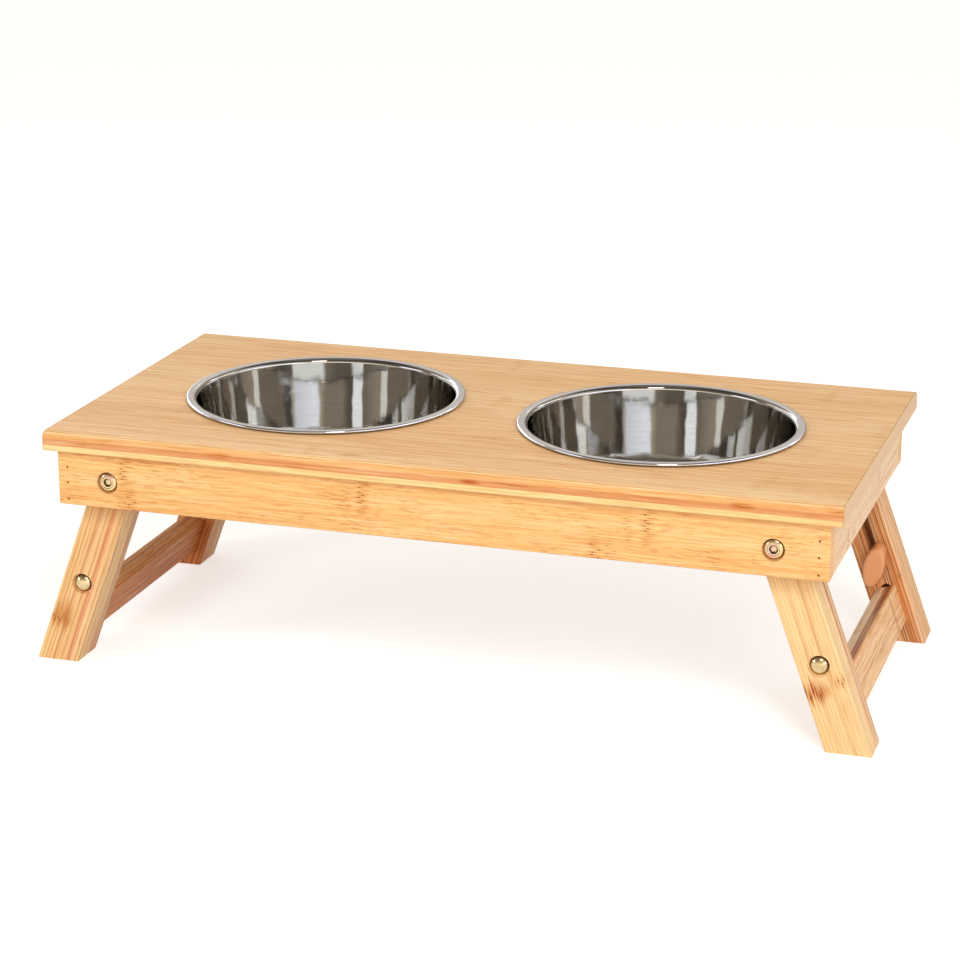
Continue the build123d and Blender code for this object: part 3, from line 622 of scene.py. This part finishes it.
def rounded(corners):
    """The outline through corners (x, y, radius), each rounded by its own radius. A point just off each
    end of an arc keeps the straight sheet beside it true."""
    points = []
    for before, corner, after in zip(corners[:1] + corners, corners, corners[1:] + corners[-1:]):
        middle, radius = Vector(corner[:2]), corner[2]
        if not radius:
            points.append(tuple(middle))
            continue
        back = (Vector(before[:2]) - middle).normalized()
        onward = (Vector(after[:2]) - middle).normalized()
        half = back.angle(onward) / 2
        centre = middle + (back + onward).normalized() * radius / sin(half)
        spoke = middle + back * radius / tan(half) - centre
        way = -1 if back.cross(onward) > 0 else 1
        count = max(2, round((pi - 2 * half) / radians(5.0)))
        reach = radius / tan(half) + 0.3
        points.append(tuple(middle + back * reach))
        for number in range(count + 1):
            angle = way * (pi - 2 * half) * number / count
            points.append((centre.x + spoke.x * cos(angle) - spoke.y * sin(angle),
                           centre.y + spoke.x * sin(angle) + spoke.y * cos(angle)))
        points.append(tuple(middle + onward * reach))
    return points


RIM_RADIUS, RIM_TOP, BEAD = 71.8, 128.0, 0.85
MOUTH_RADIUS, FLOOR_RADIUS, BOWL_DEPTH = 66.6, 61.1, 53.5
STEEL, SHOULDER, CORNER = 0.8, 2.5, 7.0
BOWL_X, BOARD_TOP = 88.8, 126.0


def polished_steel(name, centre):
    """Stainless steel, spindle-polished: near-mirror, with fine rings round the bowl's axis."""
    material = bpy.data.materials.new(name)
    material.use_nodes = True
    tree = material.node_tree
    tree.nodes.clear()
    here = add(tree, "ShaderNodeTexCoord")
    local = add(tree, "ShaderNodeMapping", here.outputs["Object"], (-centre, 0.0, -BOARD_TOP),
                (0.0, 0.0, 0.0), (1 / MM, 1 / MM, 1 / MM))
    level = add(tree, "ShaderNodeVectorMath", local, (1.0, 1.0, 0.0), operation="MULTIPLY")
    radius = add(tree, "ShaderNodeVectorMath", level, operation="LENGTH")
    height = add(tree, "ShaderNodeSeparateXYZ", local).outputs["Z"]
    around = add(tree, "ShaderNodeVectorMath", level, (0.02, 0.02, 0.0), operation="MULTIPLY")
    passed = add(tree, "ShaderNodeCombineXYZ", add(tree, "ShaderNodeMath", radius, 0.9, operation="MULTIPLY"),
                 0.0, add(tree, "ShaderNodeMath", height, 0.9, operation="MULTIPLY"))
    ring_spot = add(tree, "ShaderNodeVectorMath", around, passed, operation="ADD")
    rings = add(tree, "ShaderNodeTexNoise", ring_spot, named={"Scale": 1.0, "Detail": 3.0, "Roughness": 0.7})
    on_rim = add(tree, "ShaderNodeMapRange", height, 0.6, 1.9, 0.0, 1.0)
    wall_rough = add(tree, "ShaderNodeMapRange", rings, 0.3, 0.7, 0.02, 0.06)
    rough = add(tree, "ShaderNodeMix", on_rim, wall_rough, 0.12, data_type="FLOAT")
    tone = add(tree, "ShaderNodeMix", rings, colour("#b8b5b1"), colour("#d2cfcb"), data_type="RGBA")
    tone = add(tree, "ShaderNodeMix", on_rim, tone, colour("#cdcfdb"), data_type="RGBA")
    # The round into the wall is painted darker as a painted dark reflection, and a painted shadow lies under
    # the rolled edge.
    round_start = add(tree, "ShaderNodeMapRange", height, -0.3, 0.5, 0.0, 0.85)
    round_end = add(tree, "ShaderNodeMapRange", height, 1.5, 1.85, 1.0, 0.0)
    inner = add(tree, "ShaderNodeMapRange", radius, 68.5, 69.5, 1.0, 0.0)
    in_round = add(tree, "ShaderNodeMath", round_start, round_end, operation="MULTIPLY")
    painted_dark_shoulder = add(tree, "ShaderNodeMath", in_round, inner, operation="MULTIPLY")
    tone = add(tree, "ShaderNodeMix", painted_dark_shoulder, tone, colour("#847c74"), data_type="RGBA")
    # Painted shadow: near black on the underside of the bead, where it meets the board.
    under = add(tree, "ShaderNodeMapRange", height, 0.45, 1.15, 0.9, 0.0)
    outer = add(tree, "ShaderNodeMapRange", radius, 70.4, 71.2, 0.0, 1.0)
    painted_shadow_under_bead = add(tree, "ShaderNodeMath", under, outer, operation="MULTIPLY")
    tone = add(tree, "ShaderNodeMix", painted_shadow_under_bead, tone, colour("#2e2a26"), data_type="RGBA")
    # Drawing leaves the wall very slightly uneven over some 12 mm, which makes the reflections waver.
    uneven = add(tree, "ShaderNodeTexNoise", local, named={"Scale": 0.08, "Detail": 1.0})
    waver = add(tree, "ShaderNodeBump", named={"Strength": 1.0, "Distance": 0.06 * MM, "Height": uneven})
    bump = add(tree, "ShaderNodeBump", named={"Strength": 0.12, "Distance": 0.02 * MM, "Height": rings,
               "Normal": waver})
    shader = add(tree, "ShaderNodeBsdfPrincipled", named={
        "Base Color": tone, "Metallic": 1.0, "Roughness": rough, "Anisotropic": 0.5,
        "Anisotropic Rotation": 0.25, "Normal": bump,
        "Tangent": add(tree, "ShaderNodeTangent", direction_type="UV_MAP", uv_map="turning")})
    add(tree, "ShaderNodeOutputMaterial", shader)
    return material


floor_height = RIM_TOP - BOWL_DEPTH
inside = [(0.0, floor_height, 0.0), (FLOOR_RADIUS, floor_height, CORNER), (MOUTH_RADIUS, RIM_TOP, SHOULDER),
          (RIM_RADIUS - BEAD - 0.3, RIM_TOP, 0.0)]
bead = [(RIM_RADIUS - BEAD + BEAD * sin(radians(angle)), RIM_TOP - BEAD + BEAD * cos(radians(angle)))
        for angle in range(0, 271, 15)]
slant = hypot(MOUTH_RADIUS - FLOOR_RADIUS, BOWL_DEPTH)
sideways = STEEL * slant / BOWL_DEPTH
wall_slope = (MOUTH_RADIUS - FLOOR_RADIUS) / BOWL_DEPTH
outside = [(RIM_RADIUS - 2 * BEAD - 0.3, RIM_TOP - STEEL, 0.0),
           (MOUTH_RADIUS + sideways - STEEL * wall_slope, RIM_TOP - STEEL, SHOULDER - STEEL),
           (FLOOR_RADIUS + sideways - STEEL * wall_slope, floor_height - STEEL, CORNER + STEEL),
           (0.0, floor_height - STEEL, 0.0)]
bowl_section = [(x, y, 0) for x, y in reversed(rounded(inside) + bead + rounded(outside))]
for side_name, side in (("left", -1), ("right", 1)):
    node = f"{side_name}_bowl"
    steel = polished_steel(f"spindle-polished stainless steel, {side_name}", side * BOWL_X)
    bowl = turned(f"{side_name}_drawn_bowl", bowl_section, [((side * BOWL_X, 0, 0), (0, 0, 0))], steel,
                  segments=256)
    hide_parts(node)
    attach(bowl, node)

# Floor and light of the studio: a pale table, one large soft lamp in front on the right, a weaker one
# on the left and a small one above the camera that puts the bright spots on the hardware. Light is
# mirrored up to ten times inside a bowl.
bpy.context.scene.cycles.glossy_bounces = 10
floor = bpy.data.meshes.new("studio floor")
floor.from_pydata([(x, y, -0.0002) for x, y in ((-6, -6), (6, -6), (6, 6), (-6, 6))], [], [(0, 1, 2, 3)])
floor_piece = bpy.data.objects.new("studio_floor", floor)
bpy.context.collection.objects.link(floor_piece)
floor_paint = bpy.data.materials.new("matt white table")
floor_paint.use_nodes = True
tree = floor_paint.node_tree
tree.nodes.clear()
# A little glow where the camera or the steel looks makes the table read as white, and the shadow stays.
path = add(tree, "ShaderNodeLightPath")
seen = add(tree, "ShaderNodeMath", path.outputs["Is Camera Ray"], path.outputs["Is Glossy Ray"],
           operation="MAXIMUM")
paint = add(tree, "ShaderNodeBsdfDiffuse", colour("#e6e6e6"))
lift = add(tree, "ShaderNodeEmission", colour("#ffffff"),
           add(tree, "ShaderNodeMath", seen, 0.55, operation="MULTIPLY"))
add(tree, "ShaderNodeOutputMaterial", add(tree, "ShaderNodeAddShader", paint, lift))
floor.materials.append(floor_paint)

world = bpy.data.worlds.new("white studio")
bpy.context.scene.world = world
world.use_nodes = True
tree = world.node_tree
tree.nodes.clear()
path = add(tree, "ShaderNodeLightPath")
way = add(tree, "ShaderNodeSeparateXYZ", add(tree, "ShaderNodeTexCoord").outputs["Generated"])
# What polished steel shows: a white room with tall lamps on the right, on the left and behind, and
# dark gaps between them. Each stop is a compass angle from the front, a tint and a brightness. The
# rows start on the table, at 11, at 19 and at 24 degrees above it. Higher up the room is dark, with a
# grey ceiling straight above.
WALL, RIGHT_LAMP, LEFT_LAMP, BACK_LAMP, LAMP_TOP = "#fff3e0", "#d4dff1", "#d8e2f1", "#e9eff1", "#dfe8f6"
LOW = [(-180, WALL, 0.3), (-158, WALL, 0.5), (-152, BACK_LAMP, 2.3), (-101, BACK_LAMP, 2.3),
       (-97, WALL, 0.3), (-70, WALL, 0.2), (-50, WALL, 0.9), (-35, WALL, 1.6), (30, WALL, 2.2),
       (50, WALL, 1.8), (62, WALL, 0.4), (80, WALL, 1.6), (92, WALL, 0.6), (133, WALL, 0.35),
       (136, BACK_LAMP, 2.5), (152, BACK_LAMP, 2.2), (157, WALL, 0.3), (180, WALL, 0.3)]
AROUND = [(-180, WALL, 0.72), (-152, WALL, 0.75), (-147, BACK_LAMP, 3.9), (-134, BACK_LAMP, 3.6),
          (-131, WALL, 1.3), (-112, WALL, 1.1), (-84, WALL, 0.7), (-79, WALL, 1.1),
          (-76, LEFT_LAMP, 5.6), (-53, LEFT_LAMP, 5.6), (-49, WALL, 0.35), (-35, WALL, 0.55),
          (-22, WALL, 1.05), (25, WALL, 1.0), (38, WALL, 1.7), (47, RIGHT_LAMP, 5.6),
          (62, RIGHT_LAMP, 5.5), (105, RIGHT_LAMP, 4.4), (114, WALL, 1.4), (118, WALL, 0.15),
          (133, WALL, 0.2), (141, WALL, 0.65), (180, WALL, 0.75)]
UPPER = [(-180, WALL, 1.2), (-155, WALL, 1.3), (-150, LAMP_TOP, 3.6), (-134, LAMP_TOP, 5.0),
         (-95, LAMP_TOP, 6.5), (-91, WALL, 0.9), (-80, WALL, 1.2), (-76, LEFT_LAMP, 5.6),
         (-53, LEFT_LAMP, 5.6), (-49, WALL, 0.35), (-35, WALL, 0.55), (-22, WALL, 1.0), (25, WALL, 1.0),
         (38, WALL, 1.7), (46, RIGHT_LAMP, 5.6), (62, RIGHT_LAMP, 5.5), (105, RIGHT_LAMP, 4.4),
         (112, WALL, 2.5), (116, LAMP_TOP, 8.5), (150, LAMP_TOP, 8.5), (155, WALL, 0.9),
         (180, WALL, 0.9)]
ABOVE = [(-180, WALL, 0.8), (-146, WALL, 0.7), (-98, WALL, 0.6), (-92, WALL, 0.3), (-20, WALL, 0.35),
         (50, WALL, 0.5), (80, WALL, 1.2), (90, BACK_LAMP, 2.0), (106, BACK_LAMP, 2.0), (114, WALL, 0.6),
         (128, WALL, 2.0), (140, WALL, 0.7), (180, WALL, 0.8)]
DARK_ABOVE, CEILING = "#6a6864", "#b9b6b1"
ROW_EDGES = ((10, 12), (18.7, 19.3), (23, 25), (42, 56), (66, 76))
BRIGHTEST = 9.0
compass = add(tree, "ShaderNodeMath", way.outputs["X"],
              add(tree, "ShaderNodeMath", way.outputs["Y"], -1.0, operation="MULTIPLY"), operation="ARCTAN2")
part = add(tree, "ShaderNodeMapRange", compass, -pi, pi, 0.0, 1.0)
rings = []
for row in (LOW, AROUND, UPPER, ABOVE):
    ring = add(tree, "ShaderNodeValToRGB", part)
    stops = ring.color_ramp.elements
    while len(stops) < len(row):
        stops.new(1.0)
    for stop, (angle, tint, brightness) in zip(stops, row):
        stop.position = (angle + 180) / 360
        stop.color = [share * brightness / BRIGHTEST for share in colour(tint)[:3]] + [1.0]
    rings.append(add(tree, "ShaderNodeVectorMath", ring.outputs["Color"], (BRIGHTEST,) * 3,
                     operation="MULTIPLY"))
mirrored = rings[0]
for upper, (start, end) in zip(rings[1:] + [colour(DARK_ABOVE), colour(CEILING)], ROW_EDGES):
    share = add(tree, "ShaderNodeMapRange", way.outputs["Z"], sin(radians(start)), sin(radians(end)), 0.0,
                1.0)
    mirrored = add(tree, "ShaderNodeMix", share, mirrored, upper, data_type="RGBA")
plain = add(tree, "ShaderNodeMix", path.outputs["Is Camera Ray"], colour("#c6bfb6"), colour("#ffffff"),
            data_type="RGBA")
light = add(tree, "ShaderNodeMix", path.outputs["Is Glossy Ray"], plain, mirrored, data_type="RGBA")
add(tree, "ShaderNodeOutputWorld", add(tree, "ShaderNodeBackground", light, 1.0))

for label, place, size, power, shown in (("key", (1.15, -1.55, 1.15), (0.9, 1.2), 17.0, False),
                                         ("fill", (-1.3, -1.3, 0.9), (0.6, 1.2), 8.0, False),
                                         ("spot", (0.47, -1.05, 1.15), (0.32, 0.3), 4.0, True)):
    lamp = bpy.data.lights.new(label, "AREA")
    lamp.shape = "RECTANGLE"
    lamp.size, lamp.size_y = size
    lamp.energy = power
    holder = bpy.data.objects.new(label, lamp)
    holder.location = place
    holder.rotation_euler = (Vector((0, 0, 0.08)) - Vector(place)).to_track_quat("-Z", "Y").to_euler()
    holder.visible_glossy = shown
    bpy.context.collection.objects.link(holder)

# Camera: a long lens a little above the table, turned 17.7 degrees round to the right.
camera = bpy.data.cameras.new("camera")
camera.sensor_width = 36.0
camera.lens = 103.4808
camera_holder = bpy.data.objects.new("camera", camera)
camera_holder.location = (0.4031648, -1.2810733, 0.5127197)
camera_holder.rotation_euler = (radians(72.487), 0, radians(17.7005))
bpy.context.collection.objects.link(camera_holder)
bpy.context.scene.camera = camera_holder
bpy.context.scene.view_settings.view_transform = "Standard"
